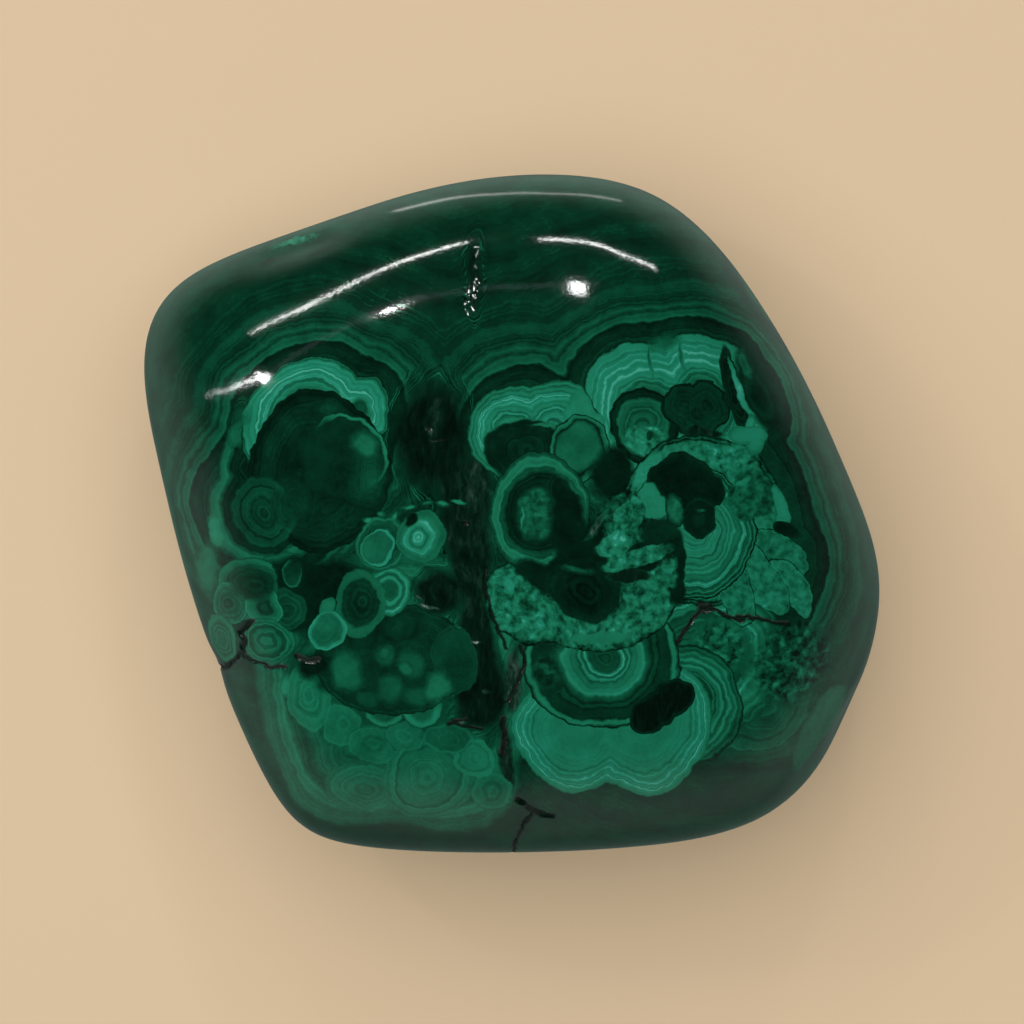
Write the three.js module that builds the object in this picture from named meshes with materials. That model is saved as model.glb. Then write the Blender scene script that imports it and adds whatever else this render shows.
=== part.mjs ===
// A tumbled and polished piece of malachite: one solid stone, lying on its flattest side.
//
// The stone is a rough block whose edges the tumbler has worn round. Its outline is a ring of upright
// facets that melt into each other at the corners, its profile swells from a flat underside over a full
// girdle to a low dome, and a few swells, a valley and some chips lie on top of that.
//
// Millimetres, +Z up. The origin is the middle of the underside: below the centre of the stone's box.
import * as THREE from "three";
import { mergeVertices } from "three/addons/utils/BufferGeometryUtils.js";

// Driving dimensions: the stone's box.
const LENGTH = 75; // along X
const WIDTH = 69.2; // along Y
const THICKNESS = 33; // along Z

// The outline's facets: the way each one faces, in degrees from +X, and its distance from the centre.
const FACETS = [
  { faces: -9, away: 38.9 },
  { faces: 21, away: 33.35 },
  { faces: 36, away: 33.5 },
  { faces: 52, away: 37.6 },
  { faces: 62, away: 36.8 },
  { faces: 88, away: 35.1 },
  { faces: 109, away: 34.5 },
  { faces: 150, away: 42.6 },
  { faces: 187, away: 36.6 },
  { faces: 195, away: 34.7 },
  { faces: 207, away: 34.95 },
  { faces: 248, away: 39.5 },
  { faces: 269, away: 34.9 },
  { faces: 281, away: 37.4 },
  { faces: 298, away: 40.8 },
  { faces: 315, away: 43.4 },
  { faces: 335, away: 40.1 },
];
const CORNER_WEAR = 20; // the higher, the less worn the corners between two facets are

// The profile, from the girdle up to the dome and down to the underside.
const DOME = 17.5; // how far the dome stands above the girdle
const KEEL = 17; // how far the rounded underside would reach below the girdle
const FULLNESS = 2.5; // 2 is an ellipse, and more is fuller at the shoulders
const BASE_CUT = 14.4; // the underside is ground flat this far below the girdle
const BASE_BLEND = 1.6; // height over which the flat base rounds into the side
const LEAN = { x: -0.012, y: -0.03 }; // the girdle plane's slope along X and Y

// Where the worn surface stands out of the plain shape, or lies below it. Each one runs from one point to
// another, reaches that far sideways, and rises or sinks by that much.
const RELIEF = [
  // the two broad swells of the dome, and the valley between them
  { from: [-20, 8, 16], to: [-14, 12, 16], reach: 13, rise: 0.9 },
  { from: [10, 13, 16], to: [19, 2, 16], reach: 12, rise: 0.9 },
  { from: [-1.5, 27, 12], to: [-4, 8, 17], reach: 3.5, rise: -0.1 },
  { from: [-5, -4, 17], to: [-1.5, -24, 14], reach: 4, rise: -0.4 },
  // the scooped chip in the lower right side
  { from: [32.5, -21, 3], to: [29, -27, 5], reach: 4, rise: -0.8 },
  // the shallow chip in the upper left shoulder
  { from: [-24, 26.5, 8], to: [-19.5, 28.2, 8], reach: 2.4, rise: -0.6 },
  // the notch where a crack leaves the left side
  { from: [-31, -15.8, 1], to: [-28.5, -15.2, 8], reach: 1.5, rise: -0.5 },
  // the worn hollow under the crack in the front
  { from: [1, -32, 9], to: [3.5, -31, 11], reach: 2.8, rise: -0.4 },
  // broad hollows and swells where the rough block was uneven
  { from: [36, 8, -4], to: [30, 20, -6], reach: 9, rise: -0.8 },
  { from: [-36, 2, -6], to: [-34, -10, -8], reach: 8, rise: -0.9 },
  { from: [-12, -34, -7], to: [10, -35, -6], reach: 7, rise: -0.7 },
  { from: [-10, 33, -7], to: [12, 34, -8], reach: 8, rise: 0.6 },
];

const FINENESS = 20; // each of the 20 faces of an icosahedron is divided into this many rows

const radians = THREE.MathUtils.degToRad;

// How far out a point lies in plan, as a share of the outline.
function outward(x, y) {
  let sum = 0;
  for (const { faces, away } of FACETS) {
    const share = (x * Math.cos(radians(faces)) + y * Math.sin(radians(faces))) / away;
    if (share > 0) sum += share ** CORNER_WEAR;
  }
  return sum ** (1 / CORNER_WEAR);
}

// The plain worn block: the point where a ray from the middle of the girdle leaves it.
function blockPoint(direction) {
  const { x, y, z } = direction;
  const height = Math.abs(z) / (z > 0 ? DOME : KEEL);
  const share = (outward(x, y) ** FULLNESS + height ** FULLNESS) ** (1 / FULLNESS);
  return direction.clone().divideScalar(share);
}

// Moves a point in or out by the relief that reaches it.
function addRelief(point) {
  const normal = new THREE.Vector3(
    point.x / LENGTH ** 2,
    point.y / WIDTH ** 2,
    point.z / THICKNESS ** 2,
  ).normalize();
  let rise = 0;
  for (const swell of RELIEF) {
    const run = new THREE.Line3(new THREE.Vector3(...swell.from), new THREE.Vector3(...swell.to));
    const nearest = run.closestPointToPoint(point, true, new THREE.Vector3());
    rise += swell.rise * Math.exp(-((nearest.distanceTo(point) / swell.reach) ** 2));
  }
  return point.addScaledVector(normal, rise);
}

// The higher of a height and the base's, rounded where the two meet, and exactly flat below that.
function onBase(height) {
  const floor = -BASE_CUT;
  const near = Math.max(BASE_BLEND - Math.abs(height - floor), 0) / BASE_BLEND;
  return Math.max(height, floor) + (near * near * BASE_BLEND) / 4;
}

function stoneGeometry() {
  const sphere = new THREE.IcosahedronGeometry(1, FINENESS - 1);
  sphere.deleteAttribute("normal");
  sphere.deleteAttribute("uv");
  const stone = mergeVertices(sphere, 1e-5);
  const place = stone.getAttribute("position");
  const spread = new THREE.Vector3(LENGTH, WIDTH, THICKNESS);
  for (let i = 0; i < place.count; i++) {
    const direction = new THREE.Vector3().fromBufferAttribute(place, i).multiply(spread);
    const point = addRelief(blockPoint(direction));
    point.z = onBase(point.z + LEAN.x * point.x + LEAN.y * point.y);
    place.setXYZ(i, point.x, point.y, point.z);
  }
  // The box is brought to its driving dimensions, and the middle of its underside to the origin.
  stone.computeBoundingBox();
  const size = stone.boundingBox.getSize(new THREE.Vector3());
  const middle = stone.boundingBox.getCenter(new THREE.Vector3());
  stone.translate(-middle.x, -middle.y, -stone.boundingBox.min.z);
  stone.scale(LENGTH / size.x, WIDTH / size.y, THICKNESS / size.z);
  stone.computeVertexNormals();
  return stone;
}

const malachite = new THREE.MeshStandardMaterial({ color: 0x0f5c3e, roughness: 0.12, metalness: 0 });

const stone = new THREE.Mesh(stoneGeometry(), malachite);
stone.name = "malachite_stone";

const specimen = new THREE.Group();
specimen.add(stone);

export default specimen;
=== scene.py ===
import math

import bmesh
import bpy
import numpy as np
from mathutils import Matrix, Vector, noise
from mathutils.bvhtree import BVHTree


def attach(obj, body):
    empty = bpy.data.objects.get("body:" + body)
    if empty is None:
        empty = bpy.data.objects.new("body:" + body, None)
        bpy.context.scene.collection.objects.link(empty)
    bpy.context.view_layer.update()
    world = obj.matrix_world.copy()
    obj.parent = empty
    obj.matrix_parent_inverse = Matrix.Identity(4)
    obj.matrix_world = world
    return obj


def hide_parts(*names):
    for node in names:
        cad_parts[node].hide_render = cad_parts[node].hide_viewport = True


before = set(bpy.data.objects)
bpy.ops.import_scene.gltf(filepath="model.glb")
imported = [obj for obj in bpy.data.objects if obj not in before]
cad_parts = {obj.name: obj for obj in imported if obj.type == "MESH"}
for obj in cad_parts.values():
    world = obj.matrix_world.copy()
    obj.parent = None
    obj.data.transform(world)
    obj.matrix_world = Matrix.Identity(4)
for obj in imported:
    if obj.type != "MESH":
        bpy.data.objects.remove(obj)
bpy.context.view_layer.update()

MM = 0.001

# ---------------------------------------------------------------- the stone's body
# One solid piece of malachite, about as wide as a palm. A rough block was tumbled until its edges
# were round, then polished wet until it shone all over. Nothing is fixed to it.

POLISH_ROUNDS = 2


def loose_copy(node_mesh):
    """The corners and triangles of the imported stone, with corners that touch made one."""
    corners = np.array([v.co for v in node_mesh.vertices], float) / MM
    ticks, first, which = np.unique(np.round(corners * 1000).astype(int), axis=0, return_index=True, return_inverse=True)
    triangles = which.reshape(-1)[np.array([f.vertices[:] for f in node_mesh.polygons])]
    return corners[first], triangles


def polished(points, triangles):
    """One round of Loop's rule: four triangles for each, and all corners eased towards their neighbours."""
    a, b, c = triangles.T
    sides = np.sort(np.stack([a, b, b, c, c, a], 1).reshape(-1, 2), axis=1)
    edges, edge_of = np.unique(sides, axis=0, return_inverse=True)
    edge_of = edge_of.reshape(-1, 3)
    across = np.zeros((len(edges), 3))
    np.add.at(across, edge_of, points[np.stack([c, a, b], 1)])
    middles = 0.375 * (points[edges[:, 0]] + points[edges[:, 1]]) + 0.125 * across
    around = np.zeros_like(points)
    np.add.at(around, edges[:, 0], points[edges[:, 1]])
    np.add.at(around, edges[:, 1], points[edges[:, 0]])
    count = np.bincount(edges.ravel(), minlength=len(points))
    ease = (0.625 - (0.375 + 0.25 * np.cos(2 * np.pi / count)) ** 2) / count
    eased = points * (1 - count * ease)[:, None] + around * ease[:, None]
    ab, bc, ca = (edge_of + len(points)).T
    finer = np.concatenate([np.stack(t, 1) for t in ((a, ab, ca), (ab, b, bc), (ca, bc, c), (ab, bc, ca))])
    return np.concatenate([eased, middles]), finer


# Where the stone is cracked or pitted: a path seen from above, then half the width at the top, the
# depth, and how far down the side it runs, all in millimetres.
FISSURES = [
    # from the notch in the left side, up between the small nodules
    ([(-31.5, -15.8), (-28.9, -15.8), (-28.0, -14.9), (-26.9, -13.9), (-26.8, -12.8), (-27.2, -12.0), (-26.0, -10.9)], 0.22, 0.40, 4),
    ([(-26.9, -14.3), (-25.5, -15.0), (-24.0, -15.5), (-22.6, -15.3)], 0.13, 0.18, 12),
    ([(-21.4, -14.3), (-20.4, -14.9), (-19.3, -14.6)], 0.20, 0.22, 12),
    # in the front, down over the edge
    ([(0.6, -28.6), (1.4, -29.4), (2.6, -30.1), (4.2, -30.5)], 0.20, 0.35, 12),
    ([(2.2, -29.9), (1.3, -31.2), (0.5, -32.8), (0.0, -35.0)], 0.16, 0.35, 6),
    # across the right half
    ([(16.4, -12.9), (17.2, -11.6), (18.2, -10.3), (18.9, -9.5), (20.4, -9.8), (21.8, -10.5), (23.0, -10.8)], 0.17, 0.28, 12),
    ([(22.4, -10.3), (24.2, -10.5), (25.9, -11.0), (27.6, -11.2)], 0.12, 0.20, 12),
    ([(18.7, -9.4), (19.4, -9.5)], 0.38, 0.45, 12),
    # the long open seam down the middle
    ([(-2.6, -5.6), (-2.7, -7.6), (-2.2, -9.4), (-1.4, -11.8), (-0.5, -13.6)], 0.12, 0.16, 12),
    ([(0.9, -13.2), (1.3, -15.2), (0.4, -17.2), (-0.4, -18.8)], 0.14, 0.20, 12),
    ([(-0.8, -20.6), (-0.7, -22.2), (-1.0, -24.2)], 0.24, 0.30, 12),
    ([(-4.6, -20.6), (-6.4, -20.9), (-3.0, -21.6)], 0.12, 0.15, 12),
    # shallow scores in the polish where the seam meets the back
    ([(-3.5, 26.6), (-3.9, 24.6), (-3.5, 22.8), (-3.8, 20.4), (-3.4, 17.8)], 0.16, 0.05, 12),
    ([(-4.3, 22.6), (-4.5, 20.8), (-4.1, 19.2)], 0.12, 0.04, 12),
    # pits in the dark seam
    ([(-4.6, -1.0), (-4.4, -1.2)], 0.22, 0.25, 12),
    ([(-8.3, 8.3), (-8.2, 8.1)], 0.20, 0.25, 12),
    ([(-8.0, 7.0), (-6.6, 7.0)], 0.10, 0.12, 12),
]


def along(path, spots):
    """How far each spot lies from a path of straight runs, in the plane."""
    nearest = np.full(len(spots), 1e9)
    for start, end in zip(path, path[1:]):
        start, run = np.array(start), np.array(end) - np.array(start)
        share = np.clip((spots - start) @ run / (run @ run), 0, 1)
        nearest = np.minimum(nearest, np.linalg.norm(spots - start - share[:, None] * run, axis=1))
    return nearest


def wandering(points, size, reach):
    """A smooth random shift for each point, so that a crack doesn't run straight."""
    return reach * np.array([noise.noise_vector(Vector(p) / size) for p in points])


def crack_nearness(points):
    """For each point, the depth of the fissure there and how deep in a fissure it is, from 0 to 1."""
    spots = (points + wandering(points, 0.9, 0.22) + wandering(points, 0.3, 0.08))[:, :2]
    uneven = np.array([0.75 + 0.7 * noise.noise(Vector(p) / 0.7) for p in points])
    depth, inside = np.zeros(len(points)), np.zeros(len(points))
    for path, half_width, deep, lowest in FISSURES:
        here = np.exp(-((along(path, spots) / half_width) ** 2)) * np.clip((points[:, 2] - lowest) / 2, 0, 1)
        depth = np.maximum(depth, here * deep * uneven)
        broken = np.clip((deep - 0.05) / 0.07, 0, 1)
        inside = np.maximum(inside, broken * np.clip(here * (0.8 + 0.5 * uneven), 0, 1))
    return depth, inside


def finer_at_fissures(bm, reach):
    """Halves the edges that lie within reach of a fissure, so that it can be cut there."""
    bm.verts.ensure_lookup_table()
    edges = list(bm.edges)
    middles = np.array([(e.verts[0].co + e.verts[1].co)[:] for e in edges]) / 2
    close = np.zeros(len(edges), bool)
    for path, half_width, deep, lowest in FISSURES:
        near = along(path, middles[:, :2]) < half_width * 1.2 + reach
        close |= near & (middles[:, 2] > lowest - 1)
    bmesh.ops.subdivide_edges(bm, edges=[e for e, cut in zip(edges, close) if cut], cuts=1, use_only_quads=False)
    bmesh.ops.triangulate(bm, faces=[f for f in bm.faces if len(f.verts) > 3])


points, triangles = loose_copy(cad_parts["malachite_stone"].data)
for _ in range(POLISH_ROUNDS):
    points, triangles = polished(points, triangles)
body = bpy.data.meshes.new("stone_body")
body.from_pydata(points.tolist(), [], triangles.tolist())
bm = bmesh.new()
bm.from_mesh(body)
for reach in (0.75, 0.4):
    finer_at_fissures(bm, reach)
bm.normal_update()
outward = np.array([v.normal[:] for v in bm.verts])
points = np.array([v.co[:] for v in bm.verts])
depth, inside = crack_nearness(points)
points = points - outward * depth[:, None]
for vert, place in zip(bm.verts, points):
    vert.co = place * MM
bm.to_mesh(body)
bm.free()
body.update()
body.attributes.new("fissure", "FLOAT", "POINT").data.foreach_set("value", inside.astype(np.float32))
body.shade_smooth()
stone = bpy.data.objects.new("polished_stone", body)
bpy.context.scene.collection.objects.link(stone)

surface = BVHTree.FromObject(stone, bpy.context.evaluated_depsgraph_get())


def height(x, y):
    """The height of the stone's upper surface at a place, in millimetres."""
    hit = surface.ray_cast(Vector((x * MM, y * MM, 1)), Vector((0, 0, -1)))[0]
    return hit.z / MM if hit else 14.0


# Malachite grew as crusts of round nodules in a hollow of the rock, one thin skin on another, so a
# cut shows rings. Each skin is a shade between near-black green and pale blue-green.


class Wire:
    """One output of a shader node. Sums on wires add Math nodes to the same material."""

    def __init__(self, tree, socket):
        self.tree, self.socket = tree, socket

    def node(self, kind, settings, sockets):
        node = self.tree.nodes.new("ShaderNode" + kind)
        for name, value in settings.items():
            if name == "stops":
                marks = node.color_ramp.elements
                marks[0].position, marks[-1].position = value[0][0], value[-1][0]
                for place, colour in value[1:-1]:
                    marks.new(place)
                for mark, (place, colour) in zip(marks, value):
                    mark.color = colour
            else:
                setattr(node, name, value)
        by_name = {s.identifier: s for s in node.inputs}
        for name, value in sockets.items():
            socket = node.inputs[name] if isinstance(name, int) else by_name[name]
            if isinstance(value, Wire):
                self.tree.links.new(value.socket, socket)
            else:
                socket.default_value = value
        return Wire(self.tree, next(s for s in node.outputs if s.enabled))

    def out(self, name):
        return Wire(self.tree, self.socket.node.outputs[name])

    def math(self, operation, *values):
        return self.node("Math", {"operation": operation}, dict(enumerate(values)))

    def vector(self, operation, *values):
        return self.node("VectorMath", {"operation": operation}, dict(enumerate(values)))

    def __add__(self, other):
        return self.math("ADD", self, other)

    __radd__ = __add__

    def __sub__(self, other):
        return self.math("SUBTRACT", self, other)

    def __rsub__(self, other):
        return self.math("SUBTRACT", other, self)

    def __mul__(self, other):
        return self.math("MULTIPLY", self, other)

    __rmul__ = __mul__

    def length(self):
        return Wire(self.tree, self.vector("LENGTH", self).socket.node.outputs["Value"])

    def distance(self, point):
        return Wire(self.tree, self.vector("DISTANCE", self, point).socket.node.outputs["Value"])

    def clipped(self):
        limited = self.math("ADD", self, 0.0)
        limited.socket.node.use_clamp = True
        return limited


malachite = bpy.data.materials.new("polished_malachite")
malachite.use_nodes = True
tree = malachite.node_tree
tree.nodes.clear()
finish = tree.nodes.new("ShaderNodeOutputMaterial")
start = Wire(tree, tree.nodes.new("ShaderNodeTexCoord").outputs["Object"])

# Skins bulge less in depth than across, so rings that are cut at a slant keep their shape.
DEPTH_SCALE = 0.6
flat_place = start.vector("MULTIPLY", start, (1000, 1000, 1000 * DEPTH_SCALE))
slow = start.node("TexNoise", {}, {"Vector": flat_place, "Scale": 0.16, "Detail": 1.0}).out("Color")
quick = start.node("TexNoise", {}, {"Vector": flat_place, "Scale": 0.75, "Detail": 3.0}).out("Color")
slow = start.vector("MULTIPLY_ADD", slow, (2.0, 2.0, 2.0), flat_place)
place = start.vector("MULTIPLY_ADD", quick, (0.9, 0.9, 0.9), slow)
# noise runs about 0.5, so the sum above also shifts the place: this takes the shift off again
CENTRE = 0.5 * (2.0 + 0.9)

EDGE = 0.95     # where a nodule ends on its ramp, which leaves room for the outside
PLAIN_GROWTH = 15.0   # for stone without rings of its own, so that it blends with its surroundings


def ramp_stops(rings, radius, seed, lines, soft, strength, pebbles):
    """Stops for one nodule: shade, how strong its lines are, how far it had grown, and its cover."""
    stops = []
    for ring in rings:
        t, shade = ring[:2]
        wave = ring[2] if len(ring) > 2 else lines
        weave = 0.0 if pebbles else 0.5 + wave * (0.5 if wave > 0 else 0.2)
        growth = PLAIN_GROWTH if pebbles or wave > 1 or abs(wave) < 0.11 else seed + t * radius
        cover = strength if t < 1 - soft or not soft else strength * max(0.0, (1 - t) / soft)
        stops.append((t * EDGE, (shade, weave, growth, cover)))
    t, colour = stops[-1]
    if soft:
        stops[-1] = (t, colour[:3] + (0.0,))
        inner = max(p for p, _ in stops if p <= (1 - soft) * EDGE + 1e-6)
        if inner < (1 - soft) * EDGE - 0.01:
            before = [c for p, c in stops if p == inner][0]
            stops.append(((1 - soft) * EDGE, before[:3] + (strength,)))
            stops.sort(key=lambda s: s[0])
    else:
        stops.append((t + max(0.012, 0.06 / radius), colour[:3] + (0.0,)))
    return stops


seeds = []
waiting = []


def nodule(x, y, size, rings, lines=0.25, turn=0, lobes=(), soft=0, strength=1, pebbles=False, z=None):
    """Notes a nodule for the next group. Its middle is in the stone's surface unless z says where."""
    size = size if isinstance(size, tuple) else (size, size)
    seeds.append(9.0 + 3.7 * (len(seeds) % 5))
    stops = ramp_stops(rings, (size[0] + size[1]) / 2, seeds[-1], lines, soft, strength, pebbles)
    middles = [(mx, my, height(mx, my) if z is None else z) for mx, my in [(x, y)] + [lobe[:2] for lobe in lobes]]
    waiting.append((middles, size, [lobe[2] for lobe in lobes], turn, stops))


def moved(middle):
    """A nodule's middle in the places that the material uses."""
    return (middle[0] + CENTRE, middle[1] + CENTRE, middle[2] * DEPTH_SCALE + CENTRE)


def grown_over(under, name):
    """Puts the nodules that wait, in their order, on top of what is under them, as one group of nodes."""
    group = bpy.data.node_groups.new(name, "ShaderNodeTree")
    for label, way, kind in (("Place", "INPUT", "Vector"), ("Under", "INPUT", "Color"), ("Over", "OUTPUT", "Color")):
        group.interface.new_socket(label, in_out=way, socket_type="NodeSocket" + kind)
    inside = group.nodes.new("NodeGroupInput")
    spot, state = Wire(group, inside.outputs["Place"]), Wire(group, inside.outputs["Under"])
    for middles, size, lobe_sizes, turn, stops in waiting:
        radius = (size[0] + size[1]) / 2
        sizes = (size[0] / EDGE, size[1] / EDGE, radius / EDGE)
        middle = moved(middles[0])
        local = spot
        if turn:
            local = spot.node("VectorRotate", {"rotation_type": "Z_AXIS"}, {"Vector": spot, "Center": middle, "Angle": -math.radians(turn)})
        shift = tuple(-m / s for m, s in zip(middle, sizes))
        t = spot.vector("MULTIPLY_ADD", local, tuple(1 / s for s in sizes), shift).length()
        for lobe_middle, lobe_size in zip(middles[1:], lobe_sizes):
            far = spot.distance(moved(lobe_middle))
            far = spot.math("MULTIPLY_ADD", far, EDGE / radius, EDGE * (radius - lobe_size) / radius)
            t = spot.math("SMOOTH_MIN", t, far, 0.04)
        ramp = spot.node("ValToRGB", {"stops": stops}, {"Fac": t})
        state = spot.node("Mix", {"data_type": "RGBA"}, {
            "Factor_Float": ramp.out("Alpha"), "A_Color": state, "B_Color": ramp.out("Color")})
    group.links.new(state.socket, group.nodes.new("NodeGroupOutput").inputs["Over"])
    waiting.clear()
    return under.node("Group", {"node_tree": group}, {0: place, 1: under})


# The mass that all nodules sit in: skins that followed the whole crust, so they run round the
# left group and the right group together and meet in the seam between them.
CRUST = [
    (-20.0, 8.4, 7.0), (-15.2, 10.2, 3.3), (-24.7, 1.0, 6.3),
    (1.2, 7.9, 4.9), (13.6, 10.0, 7.2), (18.8, 10.4, 7.6), (20.8, -0.6, 8.4), (22.6, -5.2, 7.6),
]
crust = None
for x, y, r in CRUST:
    far = place.distance(moved((x, y, height(x, y)))) - r
    crust = far if crust is None else start.math("SMOOTH_MIN", crust, far, 0.8)
CRUST_REACH = 24.0
crust_rings = [
    (0.0, 0.20, 0.2), (1.1, 0.18, 0.2), (1.45, 0.07, 0.1), (1.65, 0.12, 0.1), (1.85, 0.54, 0.0), (2.1, 0.44, 0.1), (2.5, 0.30, 0.2),
    (3.3, 0.37, 0.2), (4.2, 0.24, 0.2), (5.2, 0.37, 0.2), (6.4, 0.20, 0.15), (8.0, 0.26, 0.1), (10.0, 0.17, 0.07), (12.0, 0.25, 0.07),
    (13.0, 0.17, 0.07), (15.0, 0.25, 0.07), (17.5, 0.18, 0.07), (19.0, 0.28, 0.1), (21.0, 0.20, 0.1), (24.0, 0.24, 0.12)]
crust_stops = [(d / CRUST_REACH, (s, 0.5 + 0.5 * w, 3.0 + d, 1.0)) for d, s, w in crust_rings]
mass = start.node("ValToRGB", {"stops": crust_stops}, {"Fac": crust * (1 / CRUST_REACH)})

# the underside and the sides: large plain nodules, deep in the stone
DEEP = [
    (-24, -12, 2, 13), (-2, -24, 0, 14), (20, -18, 2, 13), (30, 2, 0, 11), (22, 20, 2, 12), (2, 26, 0, 13),
    (-18, 20, 1, 12), (-31, 4, 2, 10), (2, 2, -14, 15), (-12, -6, -10, 12),
]
deep_rings = [
    (0.0, 0.6), (0.12, 0.25), (0.2, 0.3), (0.26, 0.7), (0.3, 0.5), (0.36, 0.2), (0.45, 0.16), (0.5, 0.42),
    (0.56, 0.75), (0.62, 0.7), (0.66, 0.3), (0.74, 0.2), (0.8, 0.26), (0.84, 0.52), (0.9, 0.45), (0.93, 0.15), (1, 0.12)]
for x, y, z, r in DEEP:
    nodule(x, y, r, deep_rings, lines=0.35, z=z)
mass = grown_over(mass, "deep_nodules")

# ---- the broad pale fan that fills the lower left
nodule(-11.8, -17.8, (14.6, 14.0), [
    (0.4, 0.38), (0.60, 0.46), (0.66, 0.52), (0.71, 0.36), (0.77, 0.38), (0.81, 0.60), (0.86, 0.58), (0.89, 0.44), (0.93, 0.52), (0.97, 0.44), (1, 0.3)],
    lines=0.15, lobes=[(-16.0, -24.0, 8.2), (-6.0, -26.5, 6.4)])
nodule(-22.0, 27.4, (3.4, 0.7), [(0, 0.56), (0.5, 0.46), (1, 0.3)], pebbles=True, turn=20, soft=0.6)
nodule(-24.6, 25.2, (1.6, 0.5), [(0, 0.10), (1, 0.2)], lines=0, turn=24, soft=0.5)
nodule(-19.6, 26.2, (2.2, 0.4), [(0, 0.12), (1, 0.2)], lines=0, turn=30, soft=0.5)
nodule(31.0, -21.6, (1.6, 5.4), [(0, 0.44), (0.6, 0.50), (0.85, 0.62), (1, 0.3)], lines=0.1, turn=-32, soft=0.3)
nodule(24.4, -18.6, (8.0, 7.4), [(0, 0.44), (0.6, 0.42), (0.72, 0.50), (0.80, 0.38), (0.88, 0.46), (1, 0.3)], lines=0.25, soft=0.3)
mass = grown_over(mass, "broad_fan")

# ---- the dark seam down the middle: grey waste rock that the nodules closed in, with pale flecks on it that are painted glints
for x, y, rx, ry, turn, shade, soft in [
        (-3.6, 24.0, 1.3, 7.4, 1, 0.22, 0.9), (-8.0, 7.4, 5.0, 7.6, 0, 0.12, 0.6), (-7.6, 9.4, 0.9, 4.4, 0, 0.42, 0.8),
        (-4.6, 0.6, 3.6, 6.6, -8, 0.30, 0.6), (-3.6, 2.8, 1.7, 4.4, -14, 0.48, 0.7), (-4.0, -5.2, 2.6, 6.4, 0, 0.32, 0.5),
        (-7.4, -8.2, 2.8, 3.2, 0, 0.20, 0.6), (-3.6, -12.4, 2.6, 4.8, 6, 0.26, 0.5), (-3.2, -17.8, 3.3, 5.0, 0, 0.16, 0.4),
        (0.2, -16.6, 1.3, 5.0, -4, 0.50, 0.6), (-0.6, -24.8, 1.0, 5.4, 2, 0.34, 0.7)]:
    nodule(x, y, (rx, ry), [(0, shade, 3.0), (0.6, shade, 3.0), (1, shade, 2.4)], lines=2, turn=turn, soft=soft)
# small pale flecks in the waste: painted highlights, glints where the lamps catch the pitted seam
for x, y, rx, ry, turn, shade in [(-3.6, -13.1, 0.75, 0.22, 0, 0.95), (-4.9, -21.0, 0.5, 0.3, 20, 0.9), (-3.0, -17.9, 0.8, 0.45, 8, 0.62),
                                  (-8.4, -9.6, 1.5, 0.22, -6, 0.8), (-9.2, -8.8, 0.9, 0.16, -30, 0.75), (-7.7, 7.3, 0.9, 0.25, 0, 0.9),
                                  (-8.0, 8.4, 0.35, 0.7, 10, 0.85), (-3.9, 21.4, 0.4, 2.4, 8, 0.62)]:
    nodule(x, y, (rx, ry), [(0, shade, 3.0), (0.5, shade, 3.0), (1, shade - 0.2, 3.0)], lines=2, turn=turn, soft=0.6)
mass = grown_over(mass, "dark_seam")

# ---- lower left: pale flat nodules on the broad fan
nodule(-22.8, -17.2, (0.7, 1.5), [(0, 0.72), (0.6, 0.64), (1, 0.5)], lines=0.1, turn=-12, soft=0.5)
nodule(-14.6, -27.6, (4.6, 3.0), [(0, 0.50), (0.5, 0.52), (0.72, 0.56), (0.8, 0.48), (0.9, 0.54), (1, 0.30)], lines=0.12, soft=0.25)
nodule(-8.4, -26.6, 4.6, [(0, 0.56), (0.40, 0.60), (0.62, 0.56), (0.68, 0.48), (0.73, 0.66), (0.80, 0.58), (0.86, 0.50), (0.92, 0.60), (0.96, 0.5), (1, 0.30)], lines=0.15, soft=0.1)
nodule(-2.4, -27.8, 2.2, [(0, 0.5), (0.5, 0.46), (0.8, 0.58), (1, 0.30)], lines=0.15, soft=0.1)
nodule(-3.9, -24.7, (2.3, 2.0), [(0, 0.66), (0.5, 0.64), (0.72, 0.56), (0.86, 0.70), (1, 0.30)], lines=0.15, soft=0.05)
nodule(-20.2, -18.4, (2.7, 3.5), [(0, 0.56), (0.4, 0.62), (0.6, 0.56), (0.72, 0.68), (0.85, 0.60), (0.94, 0.80), (1, 0.30)], lines=0.2, soft=0.12)
nodule(-18.4, -17.4, (1.6, 1.6), [(0, 0.3), (0.6, 0.4), (1, 0.6)], lines=0.1, soft=0.6)
nodule(-16.8, -21.4, (2.2, 2.3), [(0, 0.50), (0.4, 0.56), (0.7, 0.54), (0.88, 0.72), (1, 0.30)], lines=0.12, soft=0.2)
nodule(-13.6, -23.4, (3.0, 2.1), [(0, 0.48), (0.5, 0.50), (0.84, 0.66), (1, 0.30)], lines=0.12, soft=0.25)
nodule(-10.4, -22.4, (2.2, 1.8), [(0, 0.54), (0.4, 0.58), (0.6, 0.52), (0.86, 0.68), (1, 0.30)], lines=0.12, soft=0.2)
nodule(-6.4, -22.6, (2.6, 1.7), [(0, 0.46), (0.5, 0.44), (0.84, 0.64), (1, 0.30)], lines=0.12, soft=0.25)
nodule(-12.6, -19.8, (1.9, 1.7), [(0, 0.38), (0.55, 0.44), (0.84, 0.72), (0.93, 0.62), (1, 0.36)], lines=0.1)
nodule(-8.8, -19.6, (2.1, 1.9), [(0, 0.40), (0.55, 0.5), (0.8, 0.80), (0.93, 0.72), (1, 0.36)], lines=0.1)
left = grown_over(mass, "lower_left")

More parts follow.
